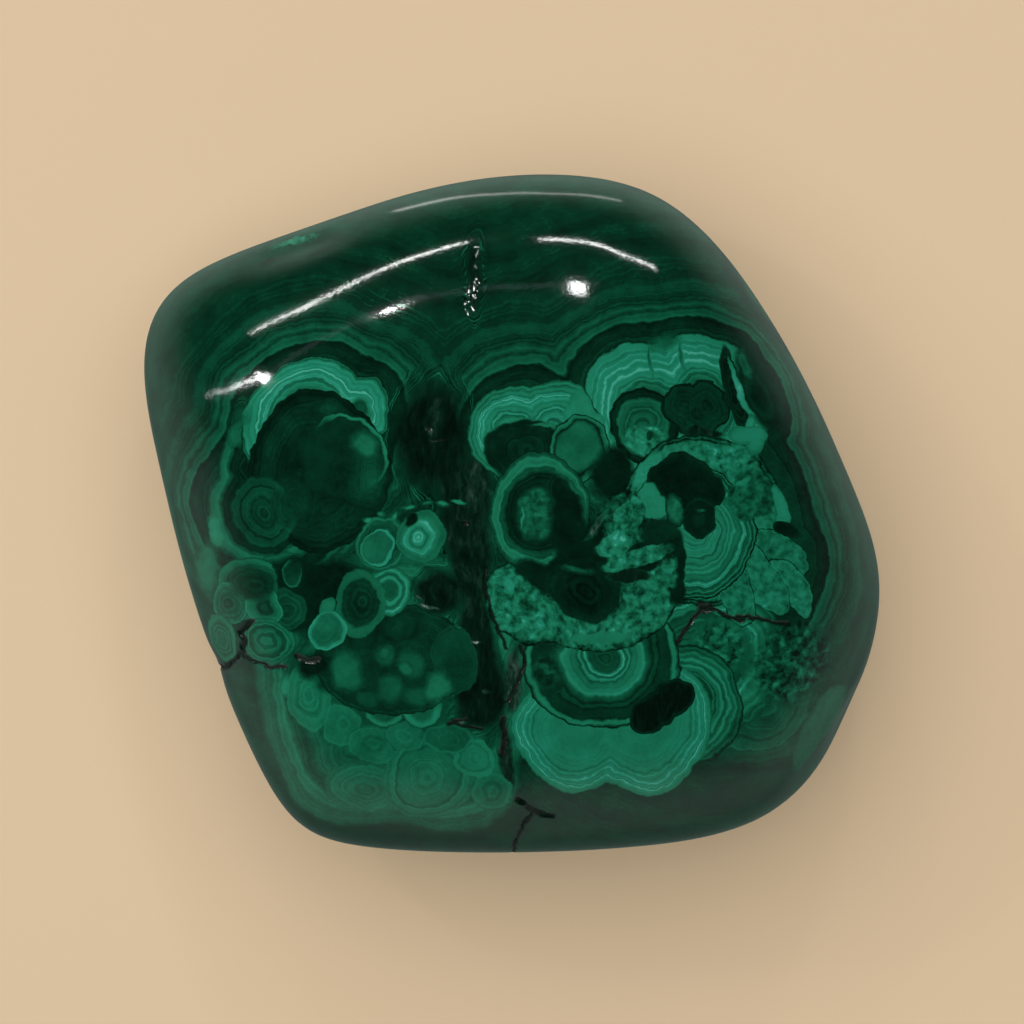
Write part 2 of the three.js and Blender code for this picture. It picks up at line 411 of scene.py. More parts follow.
# ---- the dark lumpy nodule
nodule(-12.0, -14.8, (7.8, 5.4), [(0, 0.22), (0.6, 0.24), (0.85, 0.22), (0.93, 0.18), (0.97, 0.32), (1, 0.12)], lines=0.12)
nodule(-19.6, -15.4, (2.4, 1.9), [(0, 0.04), (0.6, 0.08), (1, 0.16)], lines=0.05, soft=0.5)
nodule(-5.8, -14.8, (2.2, 3.6), [(0, 0.24), (0.5, 0.26), (0.76, 0.30), (0.86, 0.24), (0.93, 0.46), (1, 0.12)], lines=0.1, soft=0.15)
for x, y, rx, ry, shade in [
        (-11.0, -11.4, 2.9, 2.0, 0.24), (-14.8, -12.6, 2.0, 1.6, 0.22), (-16.2, -16.0, 2.3, 3.0, 0.52), (-12.6, -14.2, 1.7, 1.6, 0.42),
        (-14.0, -18.6, 1.8, 1.6, 0.34), (-12.0, -17.6, 2.0, 2.4, 0.44), (-9.8, -15.2, 2.0, 2.0, 0.44), (-9.4, -18.4, 2.2, 1.4, 0.42),
        (-7.4, -17.4, 1.9, 2.3, 0.62), (-10.4, -15.6, 0.9, 0.9, 0.56), (-12.7, -14.0, 0.8, 0.7, 0.54)]:
    nodule(x, y, (rx, ry), [(0, shade + 0.02), (0.35, shade - 0.02), (0.7, shade - 0.12), (1, 0.12)], lines=0.05, soft=0.5)
left = grown_over(left, "dark_lumps")

# ---- left: the great dark nodule under its bright hood
nodule(-24.7, 0.2, 6.1, [(0.3, 0.2), (0.66, 0.14), (0.71, 0.05), (0.75, 0.42), (0.84, 0.60), (0.93, 0.50), (0.97, 0.36), (1, 0.12)],
               lines=0.25, lobes=[(-24.4, 4.8, 5.2)])
nodule(-29.5, -2.2, (0.8, 1.9), [(0, 0.82), (0.5, 0.72), (1, 0.5)], lines=0, turn=22, soft=0.4)
nodule(-27.4, 7.6, (1.6, 1.3), [(0, 0.52), (0.5, 0.46), (1, 0.3)], lines=0.1, soft=0.6)
nodule(-20.0, 8.4, 7.0, [
    (0.3, 0.3), (0.48, 0.46), (0.54, 0.64), (0.64, 0.72), (0.71, 0.80), (0.77, 0.92), (0.84, 0.84), (0.89, 0.76), (0.95, 0.66), (0.98, 0.42), (1, 0.12)],
    lines=0.5, lobes=[(-15.2, 10.2, 3.3)])
nodule(-14.6, 10.3, (1.3, 1.5), [(0, 0.40), (0.5, 0.42), (0.7, 0.6), (1, 0.8)], lines=0.15, soft=0.25)
nodule(-26.6, 9.4, (2.0, 2.8), [(0, 0.5), (0.5, 0.5), (1, 0.5)], lines=0.1, soft=0.9, strength=0.6)
nodule(-19.2, 4.1, (7.0, 7.8), [(0, 0.16), (0.4, 0.15), (0.7, 0.20), (0.86, 0.17), (0.95, 0.08), (1, 0.05)], lines=0.15)
nodule(-16.2, 5.7, 3.9, [(0.7, 0.22), (0.88, 0.2), (0.92, 0.66), (0.97, 0.74), (1, 0.2)], lines=0)
nodule(-16.9, 5.2, 4.1, [(0, 0.16), (0.8, 0.18), (1, 0.18)], lines=0.1, soft=0.12)
nodule(-14.4, 3.4, (2.4, 4.0), [(0, 0.40), (0.5, 0.36), (1, 0.25)], lines=0.15, soft=0.7, strength=0.8)
nodule(-14.6, 6.8, 1.9, [(0, 0.58), (0.5, 0.54), (1, 0.3)], lines=0.1, soft=0.5)
nodule(-17.9, 10.0, (1.9, 1.2), [(0, 0.38), (1, 0.2)], lines=0.1, soft=0.8, strength=0.7)
nodule(-24.7, 0.0, 3.9, [(0, 0.24), (0.2, 0.32), (0.35, 0.22), (0.55, 0.32), (0.72, 0.26), (0.86, 0.42), (0.93, 0.34), (1, 0.14)], lines=0.25, soft=0.12)
nodule(-21.2, 1.0, (2.4, 3.4), [(0, 0.22), (1, 0.22)], lines=0.1, soft=0.7, strength=0.9)
left = grown_over(left, "great_dark_nodule")

# ---- left: small nodules like grapes
nodule(-20.2, -8.2, (9.0, 4.4), [(0, 0.10), (0.8, 0.13), (1, 0.16)], lines=0.15, soft=0.25)
nodule(-30.4, -5.6, (1.7, 3.4), [(0, 0.58), (0.6, 0.5), (1, 0.4)], lines=0.1, turn=-12, soft=0.4)
nodule(-26.4, -7.8, 3.4, [(0, 0.22), (0.50, 0.26), (0.66, 0.34), (0.76, 0.48), (0.86, 0.52), (0.93, 0.40), (1, 0.2)], lines=0.3, soft=0.08)
nodule(-28.0, -9.3, 2.3, [(0, 0.34), (0.5, 0.38), (0.8, 0.50), (0.9, 0.56), (1, 0.2)], lines=0.3, soft=0.08)
nodule(-22.7, -9.4, 2.1, [(0, 0.26), (0.5, 0.30), (0.75, 0.38), (0.9, 0.44), (1, 0.2)], lines=0.2, soft=0.15)
nodule(-24.8, -9.3, 1.95, [(0, 0.28), (0.4, 0.32), (0.60, 0.46), (0.76, 0.66), (0.9, 0.70), (1, 0.14)], lines=0.2, soft=0.06)
nodule(-25.8, -7.2, (2.6, 1.9), [(0, 0.20), (0.7, 0.26), (1, 0.34)], lines=0.15, soft=0.3)
nodule(-21.9, -6.1, 1.3, [(0, 0.3), (0.5, 0.26), (0.70, 0.3), (0.8, 0.50), (0.93, 0.42), (1, 0.2)], lines=0, soft=0.15)
nodule(-21.5, -5.4, 1.0, [(0, 0.2), (1, 0.18)], lines=0, soft=0.5)
nodule(-29.0, -12.8, (2.2, 2.5), [(0, 0.46), (0.6, 0.44), (0.86, 0.52), (0.92, 0.56), (1, 0.18)], lines=0.3, soft=0.06)
nodule(-24.3, -12.8, 2.5, [(0, 0.58), (0.3, 0.54), (0.46, 0.46), (0.56, 0.40), (0.70, 0.50), (0.86, 0.56), (0.93, 0.44), (1, 0.16)], lines=0.3, soft=0.06)
nodule(-12.4, -7.9, 2.5, [(0, 0.4), (0.26, 0.40), (0.36, 0.5), (0.43, 0.88), (0.51, 0.82), (0.57, 0.45), (0.67, 0.5), (0.75, 0.94), (0.83, 0.72), (0.9, 0.5), (1, 0.2)], lines=0.05, soft=0.06)
nodule(-15.2, -9.2, (2.7, 3.7), [(0, 0.16), (0.52, 0.20), (0.66, 0.32), (0.76, 0.52), (0.89, 0.50), (0.95, 0.56), (1, 0.18)], lines=0.2, soft=0.06)
nodule(-12.8, -3.2, 2.9, [(0, 0.4), (0.5, 0.36), (0.62, 0.28), (0.78, 0.34), (0.87, 0.54), (0.93, 0.46), (1, 0.14)], lines=0.25, soft=0.06)
nodule(-13.1, -3.7, 1.85, [(0, 0.56), (0.6, 0.54), (0.8, 0.5), (0.88, 0.92), (0.96, 0.84), (1, 0.3)], lines=0)
nodule(-13.8, -3.6, (1.4, 1.7), [(0, 0.54), (0.7, 0.5), (1, 0.4)], lines=0.1, soft=0.5)
nodule(-8.8, -2.8, 2.6, [(0, 0.98), (0.2, 0.90), (0.3, 0.7), (0.38, 0.58), (0.48, 0.84), (0.62, 0.92), (0.70, 0.64), (0.82, 0.55), (0.92, 0.60), (1, 0.24)], lines=0.2, soft=0.06)
nodule(-9.8, -1.1, 0.75, [(0, 0.04), (0.7, 0.08), (1, 0.2)], lines=0, soft=0.4)
nodule(-18.5, -9.8, (1.0, 1.4), [(0, 0.62), (0.6, 0.62), (0.9, 0.54), (1, 0.1)], lines=0.05)
nodule(-18.5, -12.0, (2.2, 1.95), [(0, 0.46), (0.55, 0.50), (0.68, 0.50), (0.76, 0.74), (0.86, 0.86), (0.95, 0.70), (1, 0.2)], lines=0.12, soft=0.06)
nodule(-18.5, -11.2, (1.5, 1.1), [(0, 0.54), (0.7, 0.54), (1, 0.56)], lines=0.05, soft=0.3)
for x, y, rx, ry in [(-14.6, -0.9, 0.9, 0.35), (-13.0, -0.1, 0.8, 0.35), (-11.6, -0.5, 0.45, 0.7), (-10.2, 0.2, 0.9, 0.35), (-8.6, 0.5, 0.8, 0.4), (-6.9, 0.4, 1.0, 0.4), (-5.2, 0.9, 1.0, 0.35)]:
    nodule(x, y, (rx, ry), [(0, 0.80), (0.5, 0.66), (1, 0.45)], lines=0, soft=0.6)
left = grown_over(left, "small_nodules")

# ---- lower right: ringed fans
nodule(18.8, -14.6, 8.4, [
    (0, 0.5), (0.40, 0.42), (0.60, 0.46), (0.65, 0.60), (0.68, 0.94), (0.71, 0.54), (0.76, 0.72), (0.80, 0.48), (0.85, 0.66), (0.90, 0.46), (0.96, 0.4), (1, 0.16)],
    lines=0.3, soft=0.04)
nodule(28.0, -14.9, (5.0, 4.8), [(0, 0.40), (0.6, 0.36), (0.9, 0.32), (1, 0.28)], pebbles=True, soft=0.45)
nodule(20.6, -13.4, (3.2, 3.4), [(0, 0.60), (0.6, 0.52), (1, 0.42)], pebbles=True, soft=0.4)
nodule(17.0, -19.2, 6.3, [
    (0, 0.42), (0.45, 0.44), (0.58, 0.50), (0.66, 0.64), (0.71, 0.48), (0.77, 0.72), (0.82, 0.50), (0.88, 0.66), (0.93, 0.52), (0.97, 0.40), (1, 0.10)],
    lines=0.45)
nodule(6.5, -21.6, 6.5, [(0.2, 0.68, 0.1), (0.36, 0.70, 0.15), (0.48, 0.73, 0.3), (0.60, 0.76, 0.4), (0.72, 0.70), (0.80, 0.86), (0.84, 0.70), (0.88, 0.78), (0.93, 0.66), (0.97, 0.50), (1, 0.32)],
               lines=0.5, lobes=[(12.9, -21.2, 7.3)], soft=0.02)
nodule(9.1, -14.3, (7.7, 7.0), [
    (0, 0.28), (0.1, 0.34), (0.19, 0.3), (0.235, 0.5), (0.262, 0.95), (0.288, 0.45), (0.31, 0.40), (0.332, 0.80), (0.36, 0.50), (0.42, 0.62), (0.48, 0.66),
    (0.54, 0.84), (0.58, 0.54), (0.65, 0.28), (0.75, 0.22), (0.86, 0.20), (0.895, 0.22), (0.925, 0.68), (0.955, 0.74), (0.98, 0.4), (1, 0.06)], lines=0.2)
nodule(3.4, -15.6, (1.8, 2.8), [(0, 0.36), (1, 0.24)], pebbles=True, soft=0.8, strength=0.6)
nodule(16.0, -18.6, 2.0, [(0, 0.03, 2.6), (0.75, 0.04, 2.6), (0.92, 0.08), (1, 0.2)], lines=0, lobes=[(13.3, -20.5, 1.9), (14.8, -19.6, 1.9)])
right = grown_over(mass, "ringed_fans")

# ---- right: the tall fan, with its two inner nodules
nodule(13.6, 10.0, 6.9, [
    (0.25, 0.4), (0.38, 0.60), (0.48, 0.68), (0.57, 0.76), (0.66, 0.88), (0.74, 0.80), (0.80, 0.88), (0.90, 0.76), (0.955, 0.68), (0.98, 0.4), (1, 0.06)],
    lines=0.5, lobes=[(18.9, 10.6, 7.1)])
nodule(15.4, 16.6, (2.0, 1.1), [(0, 0.46), (0.7, 0.52), (1, 0.6)], lines=0.3, soft=0.6)
nodule(13.9, 15.4, (0.20, 1.9), [(0, 0.48), (1, 0.6)], lines=0, soft=0.7)
nodule(17.0, 15.4, (0.22, 1.9), [(0, 0.48), (1, 0.6)], lines=0, soft=0.7)
nodule(12.9, 8.5, (3.5, 3.9), [(0, 0.42), (0.62, 0.44), (0.70, 0.54), (0.76, 0.36), (0.82, 0.16), (0.93, 0.10), (1, 0.10)], lines=0.25)
nodule(13.2, 7.1, (2.7, 1.6), [(0, 0.72), (0.8, 0.66), (1, 0.5)], pebbles=True, soft=0.25)
nodule(13.8, 7.5, 0.6, [(0, 0.16), (0.6, 0.26), (1, 0.5)], lines=0, soft=0.4)
nodule(16.9, 10.6, 2.3, [(0, 0.18), (0.85, 0.20), (0.93, 0.08), (1, 0.05)], lines=0.14, lobes=[(19.4, 10.8, 2.4), (18.2, 9.6, 2.4)])
nodule(18.8, 7.9, (2.5, 0.7), [(0, 0.34, 2.4), (0.6, 0.3, 2.4), (1, 0.25, 2)], lines=2, soft=0.3)
nodule(22.3, 12.2, (1.0, 4.6), [(0, 0.06), (0.5, 0.08), (0.8, 0.14), (1, 0.2)], lines=0.2, turn=13, soft=0.12)
nodule(24.6, 11.6, (1.9, 4.9), [(0, 0.14), (0.3, 0.12), (0.5, 0.24), (0.62, 0.14), (0.8, 0.16), (1, 0.14)], lines=0.1, turn=16, soft=0.3)
nodule(23.6, 14.6, (0.9, 2.2), [(0, 0.46), (0.5, 0.38), (1, 0.2)], lines=0.3, turn=22, soft=0.5)
nodule(22.9, 12.1, (0.34, 3.1), [(0, 0.97), (0.7, 0.9), (1, 0.5)], lines=0, turn=17)
nodule(23.6, 8.6, (0.35, 1.3), [(0, 0.92), (0.7, 0.84), (1, 0.5)], lines=0, turn=2)
right = grown_over(right, "tall_fan")

# ---- right: the split fan
nodule(0.2, 7.9, 4.5, [(0, 0.6), (0.3, 0.68), (0.5, 0.68), (0.62, 0.76), (0.69, 0.95), (0.75, 0.78), (0.82, 0.70), (0.90, 0.60), (0.96, 0.44), (1, 0.12)],
               lines=0.5, lobes=[(4.1, 8.3, 4.6)])
nodule(1.5, 6.0, (4.1, 3.0), [(0, 0.16), (0.6, 0.15), (0.9, 0.18), (1, 0.24)], lines=0.14, soft=0.08)
nodule(3.2, 8.4, (1.9, 0.24), [(0, 0.62), (1, 0.3)], lines=0, soft=0.5)
nodule(6.5, 9.7, (1.6, 2.0), [(0, 0.74), (0.7, 0.76), (1, 0.66)], lines=0.05, lobes=[(7.8, 9.0, 1.1)])
nodule(6.6, 6.3, (2.7, 3.3), [(0, 0.48), (0.66, 0.50), (0.74, 0.36), (0.80, 0.10), (0.86, 0.5), (0.95, 0.64), (1, 0.06)], lines=0.1)
nodule(9.8, 6.7, (0.26, 1.6), [(0, 0.66), (1, 0.4)], lines=0, turn=17, soft=0.4)
nodule(9.8, 3.6, (2.4, 3.2), [(0, 0.08), (0.7, 0.10), (1, 0.14)], lines=0.1, soft=0.35)
right = grown_over(right, "split_fan")

# ---- right: the great broken nodule with its dark heart, and its petals
nodule(18.9, -0.7, (8.5, 8.4), [(0, 0.6), (0.6, 0.64), (0.85, 0.66), (0.93, 0.60), (0.955, 0.08), (0.975, 0.46), (1, 0.05)], lines=-0.9)
nodule(21.2, 5.4, (4.2, 1.9), [(0, 0.72), (0.8, 0.66), (1, 0.62)], pebbles=True, soft=0.4)
nodule(26.3, -4.2, (3.6, 1.8), [(0, 0.54), (0.5, 0.60), (0.85, 0.56), (0.94, 0.66), (1, 0.16)], lines=-1.0, turn=-28)
nodule(27.8, -7.6, (1.7, 3.6), [(0, 0.64), (0.5, 0.70), (0.86, 0.64), (0.94, 0.76), (1, 0.16)], lines=-1.0, turn=34)
nodule(24.9, -6.8, (1.7, 4.2), [(0, 0.60), (0.5, 0.66), (0.86, 0.60), (0.94, 0.72), (1, 0.20)], lines=-1.0, turn=28)
nodule(22.4, -7.8, (1.6, 3.6), [(0, 0.58), (0.5, 0.64), (0.86, 0.58), (0.94, 0.70), (1, 0.20)], lines=-1.0, turn=14)
nodule(18.0, -1.9, 6.5, [
    (0, 0.62), (0.3, 0.66), (0.5, 0.70), (0.7, 0.66), (0.84, 0.64), (0.88, 0.34), (0.91, 0.62), (0.945, 0.18), (0.97, 0.55), (1, 0.06)], lines=0.5)
nodule(24.0, 1.5, (2.6, 2.6), [(0, 0.40), (0.5, 0.46), (0.8, 0.42), (1, 0.3)], lines=-0.9, soft=0.12)
nodule(23.6, 3.1, (1.6, 0.4), [(0, 0.72), (1, 0.5)], lines=0, turn=10, soft=0.5)
nodule(26.9, 0.4, (0.75, 1.9), [(0, 0.86), (0.8, 0.80), (1, 0.5)], lines=0, turn=16, lobes=[(26.8, -0.9, 0.8)])
nodule(27.2, -1.9, (1.6, 0.8), [(0, 0.04), (0.8, 0.08), (1, 0.2)], lines=0, turn=-14)
nodule(13.3, 4.3, (0.9, 2.9), [(0, 0.84), (0.6, 0.80), (1, 0.62)], lines=0.2, turn=-40, soft=0.25)
nodule(16.8, 2.7, (3.7, 3.1), [(0, 0.03), (0.7, 0.05), (0.9, 0.10), (1, 0.16)], lines=0.08, lobes=[(20.0, 2.3, 1.3)])
nodule(18.5, -0.5, (1.6, 2.1), [(0, 0.20), (0.5, 0.08), (0.9, 0.08), (1, 0.2)], lines=0.1)
nodule(18.4, 0.5, (0.9, 0.3), [(0, 0.5), (1, 0.2)], lines=0, turn=10, soft=0.5)
nodule(23.4, 7.6, (2.2, 1.0), [(0, 0.80), (0.7, 0.76), (1, 0.55)], lines=0.1, turn=-16, lobes=[(24.2, 6.4, 1.0)])
right = grown_over(right, "broken_nodule")

# ---- right: the bowl, a mottled crescent round a dark hollow, the ringed nodule above it, and broken bits
nodule(8.2, -7.6, (8.5, 5.9), [(0.3, 0.5), (0.6, 0.62), (0.8, 0.66), (0.93, 0.64), (0.975, 0.4), (1, 0.06)], pebbles=True, lobes=[(1.6, -8.6, 4.4)])
nodule(-0.2, -7.5, (0.7, 1.5), [(0, 0.86), (1, 0.6)], lines=0.1, turn=22, soft=0.5)
nodule(8.6, -12.2, (4.6, 0.8), [(0, 0.70), (1, 0.6)], lines=0.2, soft=0.5)
nodule(16.4, -6.0, (1.0, 3.4), [(0, 0.06), (0.7, 0.08), (1, 0.1)], lines=0.1, soft=0.2)
nodule(2.8, 0.0, (5.0, 6.0), [(0.3, 0.10), (0.58, 0.10), (0.66, 0.16), (0.74, 0.46), (0.83, 0.64), (0.92, 0.56), (0.97, 0.4), (1, 0.06)], lines=0.4)
nodule(2.5, -0.2, (2.4, 3.3), [(0, 0.46), (0.5, 0.46), (0.8, 0.40), (1, 0.12)], lines=-0.9, soft=0.3)
nodule(5.6, -1.2, (2.2, 5.4), [(0, 0.05), (0.6, 0.07), (1, 0.12)], lines=0.1, soft=0.35, turn=8)
nodule(6.2, 2.4, (0.28, 1.6), [(0, 0.5), (1, 0.2)], lines=0, turn=38, soft=0.5)
nodule(1.05, -0.6, (0.20, 1.5), [(0, 0.78), (1, 0.4)], lines=0, soft=0.5)
nodule(11.2, -3.2, (6.0, 3.2), [(0, 0.10), (0.7, 0.12), (1, 0.12)], lines=0.2, turn=6, soft=0.08, lobes=[(7.3, -7.0, 3.9)])
nodule(3.6, -6.9, (4.4, 1.5), [(0, 0.10), (0.6, 0.10), (1, 0.12)], lines=0.1, turn=-30, soft=0.25)
nodule(7.4, -3.4, (3.6, 3.0), [(0, 0.06), (1, 0.10)], lines=0.1, soft=0.5)
nodule(7.3, -7.4, (3.5, 3.3), [(0, 0.05), (0.5, 0.07), (0.8, 0.14), (1, 0.18)], lines=0.16, soft=0.3)
nodule(6.4, -5.6, (2.0, 0.45), [(0, 0.42), (1, 0.2)], lines=0.2, soft=0.6)
right = grown_over(right, "bowl")

nodule(11.6, -0.6, (3.4, 2.6), [(0, 0.44), (0.8, 0.40), (1, 0.16)], pebbles=True, soft=0.15)
nodule(13.4, 1.1, (1.3, 1.9), [(0, 0.66), (0.5, 0.74), (0.9, 0.70), (1, 0.20)], lines=0.1, turn=-20, lobes=[(14.4, 0.6, 1.3)])
nodule(16.2, 0.2, (1.0, 1.7), [(0, 0.56), (0.7, 0.50), (1, 0.12)], lines=-0.5, turn=12)
nodule(11.4, -0.6, (1.5, 2.3), [(0, 0.46), (0.5, 0.50), (0.8, 0.66), (1, 0.2)], pebbles=True, turn=-30, soft=0.1)
nodule(10.0, -3.0, (2.2, 1.3), [(0, 0.78), (0.7, 0.66), (1, 0.3)], pebbles=True, turn=24, soft=0.2)
nodule(14.6, -1.8, (2.3, 1.5), [(0, 0.16), (0.6, 0.16), (1, 0.2)], lines=0.1, soft=0.3, turn=10)
nodule(12.2, -4.4, (3.9, 1.1), [(0, 0.70), (0.7, 0.64), (1, 0.3)], pebbles=True, turn=13, soft=0.15)
nodule(11.8, -6.2, (2.6, 0.65), [(0, 0.30, 2.4), (1, 0.2, 2)], lines=2, turn=-6, soft=0.3)
nodule(15.4, -6.0, (1.3, 1.9), [(0, 0.60), (0.7, 0.54), (1, 0.3)], pebbles=True, soft=0.3)
nodule(8.4, -1.2, (0.45, 2.3), [(0, 0.62, 2.4), (1, 0.3, 2)], lines=2, turn=-38, soft=0.5)
right = grown_over(right, "broken_bits")

# The skins' shades. Fine lines come from one strip of noise read along the growth, silky fibres
# from fine noise, mottled stone from packed cells, and the grey waste from streaks.
SHADES = [
    (0.00, (0.0004, 0.0060, 0.0030)), (0.12, (0.0008, 0.0140, 0.0065)), (0.25, (0.0014, 0.0300, 0.0135)),
    (0.38, (0.0022, 0.0540, 0.0260)), (0.50, (0.0038, 0.0880, 0.0440)), (0.62, (0.0065, 0.1280, 0.0660)),
    (0.74, (0.0090, 0.1650, 0.0890)), (0.86, (0.0110, 0.1950, 0.1130)), (0.95, (0.0200, 0.2450, 0.1580)), (1.00, (0.0500, 0.3300, 0.2300))]
WASTE = [
    (0.00, (0.0006, 0.0050, 0.0025)), (0.30, (0.0013, 0.0115, 0.0058)), (0.55, (0.0060, 0.0270, 0.0165)),
    (0.78, (0.0350, 0.0680, 0.0530)), (1.00, (0.2000, 0.2650, 0.2400))]
silk = start.node("TexNoise", {}, {"Vector": start.vector("MULTIPLY", place, (1.5, 1.5, 1.5)), "Scale": 1.0, "Detail": 3.0})
cell = start.node("TexVoronoi", {"feature": "F1"}, {"Vector": place, "Scale": 1.05, "Randomness": 1.0}).out("Distance")
grain = start.node("TexNoise", {}, {"Vector": flat_place, "Scale": 2.4, "Detail": 2.0})
mottle = start.node("TexNoise", {}, {"Vector": flat_place, "Scale": 0.5, "Detail": 4.0})
streak = start.node("TexNoise", {}, {"Vector": start.vector("MULTIPLY", place, (1.5, 0.45, 1.0)), "Scale": 1.0, "Detail": 4.0, "Roughness": 0.7})
fissure = start.node("Attribute", {"attribute_name": "fissure"}, {}).out("Fac")
lip = (fissure * (1.0 - fissure) * 4.0 - 0.35).clipped()
# the sides had less polishing than the top, so they are duller; their shade is also raised so they look paler, which is
# painted light on the sides
rise = start.node("SeparateXYZ", {}, {"Vector": start}).out("Z")
side = (2.6 - rise * (1 / (MM * 10))).clipped()
# side * 0.26 is painted light: it makes the sides paler than the top; mottle and grain are the stone's own unevenness
unevenness_and_side_light = (mottle - 0.5) * 0.28 + (grain - 0.5) * 0.15 + side * 0.26 - fissure * 0.9


def coloured(state):
    """The colour of the skin that a state stands for."""
    parts = state.node("SeparateXYZ", {}, {"Vector": state})
    shade, weave, growth = parts.out("X"), parts.out("Y"), parts.out("Z")
    line_amount = ((weave - 0.5) * 2).clipped() * ((1.1 - weave) * 4).clipped()
    fibre_amount = ((0.5 - weave) * 4).clipped()
    waste_amount = ((weave - 1.0) * 1.4).clipped()
    is_pebble = ((0.3 - weave) * 5).clipped()
    fine = state.node("TexNoise", {"noise_dimensions": "1D", "normalize": True}, {"W": growth * 2.5, "Scale": 1.0, "Detail": 3.0, "Roughness": 0.66})
    broad = state.node("TexNoise", {"noise_dimensions": "1D", "normalize": True}, {"W": growth * 0.45 + 40.0, "Scale": 1.0, "Detail": 1.0})
    shade = shade + (fine - 0.5) * line_amount * 2.3 + (broad - 0.5) * line_amount * 0.7
    shade = shade + (silk - 0.5) * fibre_amount * 1.3
    shade = shade + is_pebble * ((0.42 - cell) * 0.40 + (grain - 0.5) * 0.28)
    green = state.node("ValToRGB", {"stops": [(t, c + (1.0,)) for t, c in SHADES]}, {"Fac": (shade + unevenness_and_side_light).clipped()})
    grey = state.node("ValToRGB", {"stops": [(t, c + (1.0,)) for t, c in WASTE]}, {
        "Fac": (parts.out("X") + (streak - 0.5) * 1.5 - fissure * 0.6).clipped()})
    waste = (waste_amount + lip * 0.6).clipped()
    return state.node("Mix", {"data_type": "RGBA"}, {"Factor_Float": waste, "A_Color": green, "B_Color": grey})


rough = fissure * 0.5 + side * 0.12 + 0.07
pitting = start.node("TexNoise", {}, {"Vector": flat_place, "Scale": 2.6, "Detail": 2.0})
bump = start.node("Bump", {}, {"Strength": 0.22, "Distance": 0.00002, "Height": pitting})

# Each half of the stone has a shader of its own, and the seam hides where they meet. Only the
# half that is looked at is worked out.
halves = []
for half in (left, right):
    shine = half.node("BsdfPrincipled", {}, {"Base Color": coloured(half), "Roughness": rough, "Normal": bump, "IOR": 1.55})
    halves.append(shine)
across = start.vector("DOT_PRODUCT", place, (1, 0.157, 0)).out("Value")
is_right = start.math("GREATER_THAN", across, CENTRE * 1.157 - 4.2)
stone_shader = start.node("MixShader", {}, {0: is_right, 1: halves[0], 2: halves[1]})
tree.links.new(stone_shader.socket, finish.inputs["Surface"])

body.materials.append(malachite)
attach(stone, "root")
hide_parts("malachite_stone")

# ---------------------------------------------------------------- the table it lies on
# A plain, pale, matt board, much larger than the view. It isn't part of the specimen.

board = bpy.data.meshes.new("board")
board.from_pydata([(x, y, -0.00005) for x, y in ((-2, -2), (2, -2), (2, 2), (-2, 2))], [], [(0, 1, 2, 3)])
floor = bpy.data.objects.new("floor", board)
bpy.context.scene.collection.objects.link(floor)
pale = bpy.data.materials.new("pale_board")
pale.use_nodes = True
board_finish = pale.node_tree.nodes["Principled BSDF"]
board_finish.inputs["Base Color"].default_value = (0.53, 0.40, 0.265, 1)
board_finish.inputs["Emission Color"].default_value = (0.39, 0.285, 0.178, 1)
board_finish.inputs["Emission Strength"].default_value = 0.45
board_finish.inputs["Roughness"].default_value = 0.9
board_finish.inputs["Specular IOR Level"].default_value = 0.1
board.materials.append(pale)
floor.visible_glossy = False     # the polish shows the dim walls instead, down to its foot

# ---------------------------------------------------------------- the studio
# A dark ceiling, walls that are pale only near the table and in front, a broad soft light above,
# and thin bright strips and three lamps behind that show in the polish.

room = bpy.data.worlds.new("studio")
room.use_nodes = True
bpy.context.scene.world = room
walls = room.node_tree
sky = Wire(walls, walls.nodes.new("ShaderNodeTexCoord").outputs["Generated"])
rise = Wire(walls, sky.vector("DOT_PRODUCT", sky, (0.0, 0.42, 0.907)).socket.node.outputs["Value"])
glow = sky.node("ValToRGB", {"stops": [
    (0.00, (0.090, 0.120, 0.110, 1)), (0.10, (0.130, 0.170, 0.152, 1)), (0.22, (0.280, 0.350, 0.310, 1)), (0.36, (0.360, 0.440, 0.395, 1)),
    (0.50, (0.280, 0.345, 0.312, 1)), (0.55, (0.200, 0.250, 0.230, 1)), (0.61, (0.085, 0.105, 0.100, 1)), (0.68, (0.019, 0.023, 0.025, 1)),
    (0.78, (0.008, 0.009, 0.011, 1)), (1.00, (0.006, 0.007, 0.008, 1))]}, {"Fac": rise * 0.5 + 0.5})
walls.links.new(glow.socket, walls.nodes["Background"].inputs["Color"])
walls.nodes["Background"].inputs["Strength"].default_value = 1.0

STUDIO_REACH = 3.0


def lamp(name, spot, towards, distance, size, brightness, shows=True):
    """A square flat lamp that faces a spot on the stone, given in millimetres, from that direction."""
    light = bpy.data.lights.new(name, "AREA")
    light.shape, light.size = "SQUARE", size
    light.energy = brightness * math.pi * size * size
    holder = bpy.data.objects.new(name, light)
    way = Vector(towards).normalized()
    holder.location = Vector(spot) * MM + way * distance
    holder.rotation_euler = way.to_track_quat("Z", "Y").to_euler()
    holder.visible_glossy, holder.visible_camera = shows, False
    bpy.context.scene.collection.objects.link(holder)


def strip(name, path, half_width, brightness, tint, tip=1.0):
    """A thin glowing strip round the stone: its path is compass angle from the back and height, in degrees."""
    corners = []
    for i, (side, up) in enumerate(path):
        half = half_width * (tip + (1 - tip) * min(i / 2, 1))
        for edge in (up - half, up + half):
            across, rise = math.cos(math.radians(edge)), math.sin(math.radians(edge))
            corners.append([STUDIO_REACH * c for c in (
                across * math.sin(math.radians(side)), across * math.cos(math.radians(side)), rise)])
    glowing(name, corners, brightness, tint)


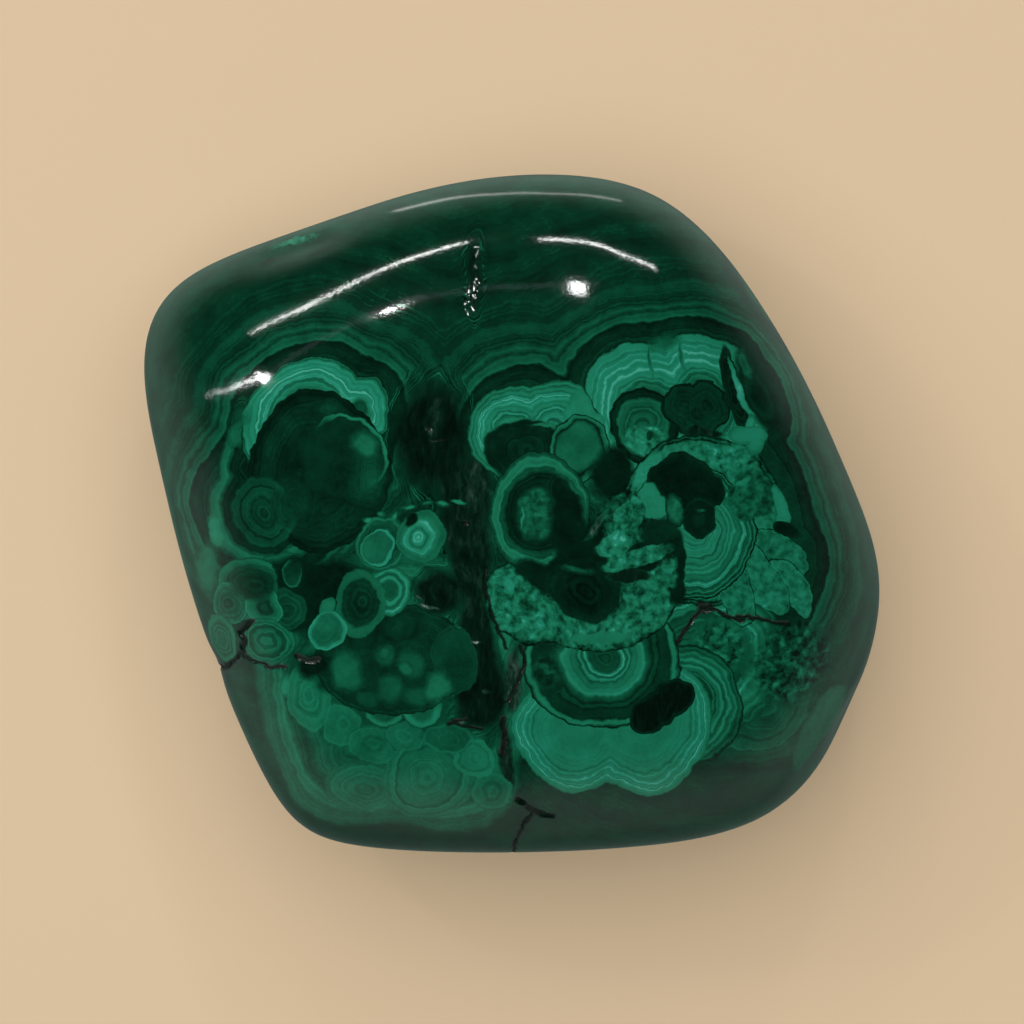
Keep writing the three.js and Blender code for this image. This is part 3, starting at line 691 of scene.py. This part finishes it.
def glowing(name, corners, brightness, tint):
    """A ribbon of squares between pairs of corners, which gives light but isn't seen itself."""
    ribbon = bpy.data.meshes.new(name)
    squares = [(i, i + 1, i + 3, i + 2) for i in range(0, len(corners) - 2, 2)]
    ribbon.from_pydata(corners, [], squares)
    paint = bpy.data.materials.new(name)
    paint.use_nodes = True
    bare = paint.node_tree
    bare.nodes.clear()
    out, shining = bare.nodes.new("ShaderNodeOutputMaterial"), bare.nodes.new("ShaderNodeEmission")
    shining.inputs["Color"].default_value = tint + (1,)
    shining.inputs["Strength"].default_value = brightness
    bare.links.new(shining.outputs["Emission"], out.inputs["Surface"])
    ribbon.materials.append(paint)
    holder = bpy.data.objects.new(name, ribbon)
    holder.visible_camera = holder.visible_diffuse = holder.visible_shadow = False
    bpy.context.scene.collection.objects.link(holder)


lamp("soft_box", (0, 0, 0), (-0.22, 0.28, 1.0), 1.4, 2.4, 1.95, shows=False)
lamp("lamp_left", (-12.1, 20.1, 29.8), (-0.183, 0.767, 0.615), 0.8, 0.009, 420)
lamp("lamp_right", (6.6, 22.3, 29.5), (0.124, 0.768, 0.628), 0.8, 0.06, 30)
lamp("lamp_side", (-24.9, 13.3, 30.0), (-0.597, 0.369, 0.712), 0.4, 0.028, 40)
strip("strip_left", [(-39, 30.2), (-30, 28.2), (-22.5, 25.5), (-18.1, 21.4), (-15.9, 18.7), (-14, 17.2), (-10.5, 17.0), (-7.2, 16.6)], 0.45, 36, (1.0, 1.0, 0.97), tip=0.3)
strip("strip_right", [(-0.7, 19.1), (3.4, 18.8), (10.7, 18.6), (21.4, 19.8), (29.2, 17.8), (35, 15.3)], 0.45, 32, (1.0, 1.0, 0.97))
strip("strip_side", [(-85.7, 19.4), (-77, 33.9), (-66, 41.5), (-58.3, 45.4), (-52.8, 46.9)], 0.8, 26, (1.0, 1.0, 1.0), tip=0.1)
strip("strip_faint", [(-52.8, 47), (-40, 46), (-30.4, 44), (-23.7, 41.3), (-18, 38.5), (-12.6, 36.5), (-8.3, 38.6), (-4.8, 39.6), (6, 38.6), (16.7, 35.4)], 0.6, 0.6, (0.7, 0.85, 1.0))
LOW_PATH = [(-19, 56), (-16, 58), (-11.6, 60), (-4.5, 70), (5, 77), (16.6, 72.5), (22, 69)]
glowing("strip_low", [(x * MM, (y + edge) * MM, 0.001) for x, y in LOW_PATH for edge in (-2.5, 2.5)], 3.2, (1.0, 1.0, 0.97))

# ---------------------------------------------------------------- the camera
# Straight above the stone, with the stone's back edge at the top of the view.

lens = bpy.data.cameras.new("camera")
lens.lens, lens.sensor_width = 200.0, 36.0
lens.clip_start, lens.clip_end = 0.05, 10.0
VIEW_WIDTH = 0.10463   # of the view, at the stone's girdle
GIRDLE = 0.0144
camera = bpy.data.objects.new("camera", lens)
camera.location = (0.0, 0.0, GIRDLE + VIEW_WIDTH * lens.lens / lens.sensor_width)
bpy.context.scene.collection.objects.link(camera)
bpy.context.scene.camera = camera
bpy.context.scene.view_settings.view_transform = "Standard"
